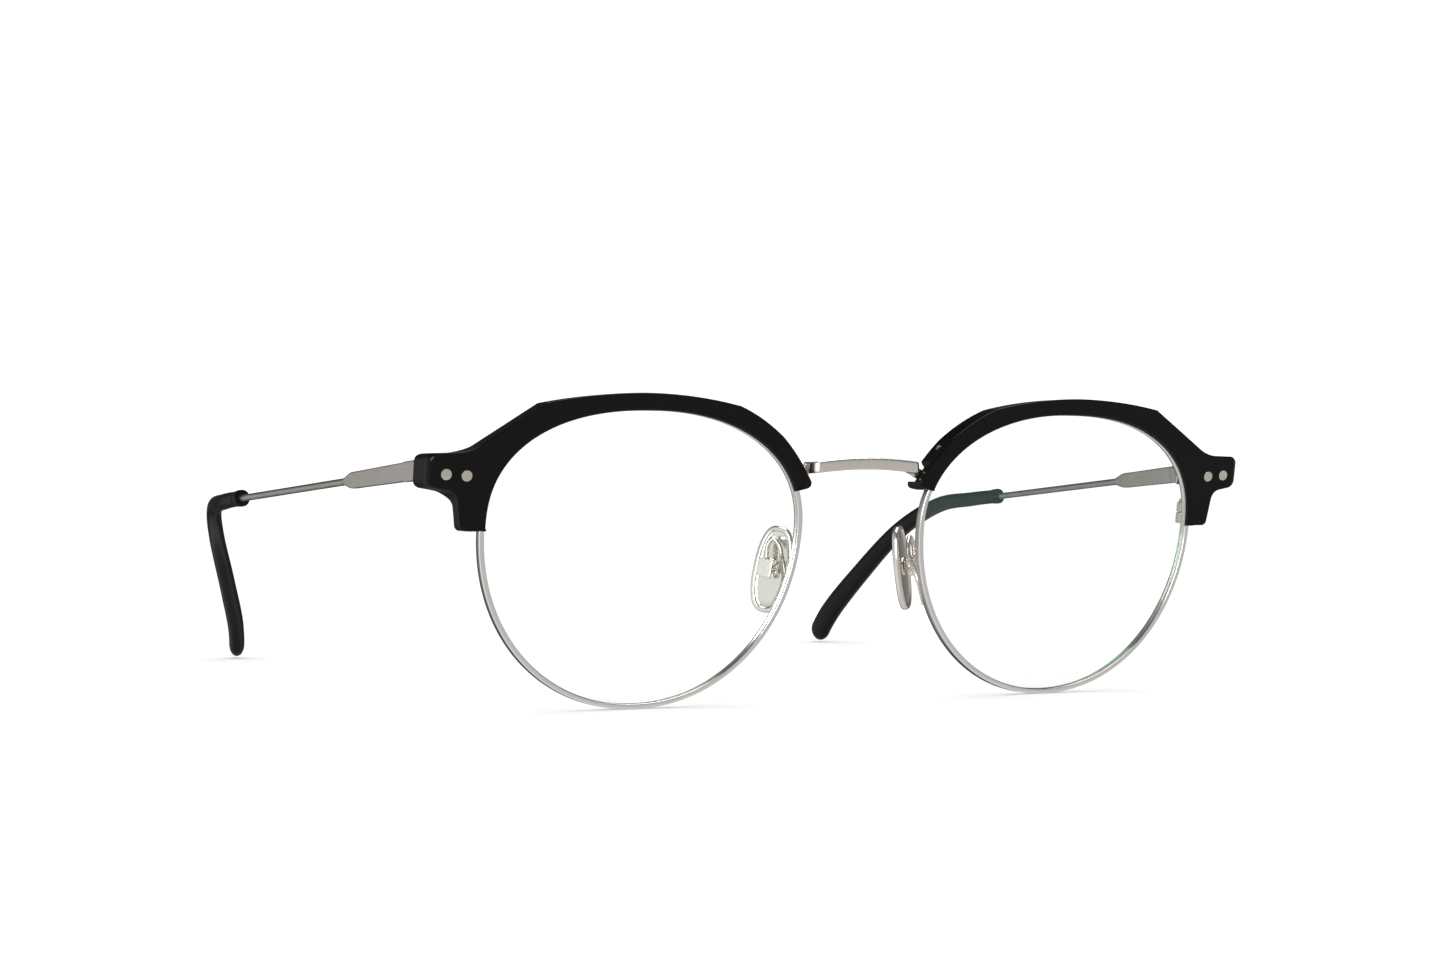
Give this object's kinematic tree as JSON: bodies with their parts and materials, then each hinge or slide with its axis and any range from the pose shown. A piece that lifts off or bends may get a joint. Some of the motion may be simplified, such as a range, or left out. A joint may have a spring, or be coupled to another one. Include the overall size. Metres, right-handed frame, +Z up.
{
  "type": "half rim eyeglasses",
  "caption": "Half rim eyeglasses: black brow bars over round silver wire rims, clear lenses, metal nose pads on wire arms, and folding wire temples with black ear tips.",
  "frame": {"origin": "under the middle of the open glasses, on the surface they stand on", "axes": "+Z up, -Y the way the wearer looks, +X towards the wearer's left"},
  "size_m": [0.1514, 0.1454, 0.0466],
  "materials": {
    "black_acetate": "polished",
    "silver_metal": "satin",
    "rivet_metal": "polished",
    "clear_lens": "polished"
  },
  "bodies": {
    "front": {"bridge": "silver_metal", "left_brow": "black_acetate", "left_rim": "silver_metal", "left_lens": "clear_lens", "left_rim_lock_upper": "silver_metal", "left_rim_lock_lower": "silver_metal", "left_rim_lock_screw": "rivet_metal", "left_inner_rivet": "rivet_metal", "left_outer_rivet": "rivet_metal", "left_brow_screw": "rivet_metal", "left_front_hinge": "silver_metal", "left_hinge_screw": "rivet_metal", "left_pad_arm": "silver_metal", "left_pad_box": "silver_metal", "left_pad_screw": "rivet_metal", "right_brow": "black_acetate", "right_rim": "silver_metal", "right_lens": "clear_lens", "right_rim_lock_upper": "silver_metal", "right_rim_lock_lower": "silver_metal", "right_rim_lock_screw": "rivet_metal", "right_inner_rivet": "rivet_metal", "right_outer_rivet": "rivet_metal", "right_brow_screw": "rivet_metal", "right_front_hinge": "silver_metal", "right_hinge_screw": "rivet_metal", "right_pad_arm": "silver_metal", "right_pad_box": "silver_metal", "right_pad_screw": "rivet_metal"},
    "left_temple_arm": {"left_temple_hinge": "silver_metal", "left_temple": "silver_metal", "left_temple_tip": "black_acetate"},
    "right_temple_arm": {"right_temple_hinge": "silver_metal", "right_temple": "silver_metal", "right_temple_tip": "black_acetate"},
    "left_pad": {"left_nose_pad": "silver_metal"},
    "right_pad": {"right_nose_pad": "silver_metal"}
  },
  "joints": [
    {"name": "left_temple_fold", "type": "hinge", "parent": "front", "child": "left_temple_arm", "pos_m": [0.065, -0.06003, 0.03549], "axis": [0, 0, 1], "range_deg": [0, 87]},
    {"name": "left_pad_rock", "type": "hinge", "parent": "front", "child": "left_pad", "pos_m": [0.01257, -0.06174, 0.02055], "axis": [0.6688, 0.7172, 0.1957], "range_deg": [-6, 6]},
    {"name": "right_temple_fold", "type": "hinge", "parent": "front", "child": "right_temple_arm", "pos_m": [-0.065, -0.06003, 0.03549], "axis": [0, 0, -1], "range_deg": [0, 78]},
    {"name": "right_pad_rock", "type": "hinge", "parent": "front", "child": "right_pad", "pos_m": [-0.01257, -0.06174, 0.02055], "axis": [-0.6688, 0.7172, 0.1957], "range_deg": [-6, 6]}
  ]
}
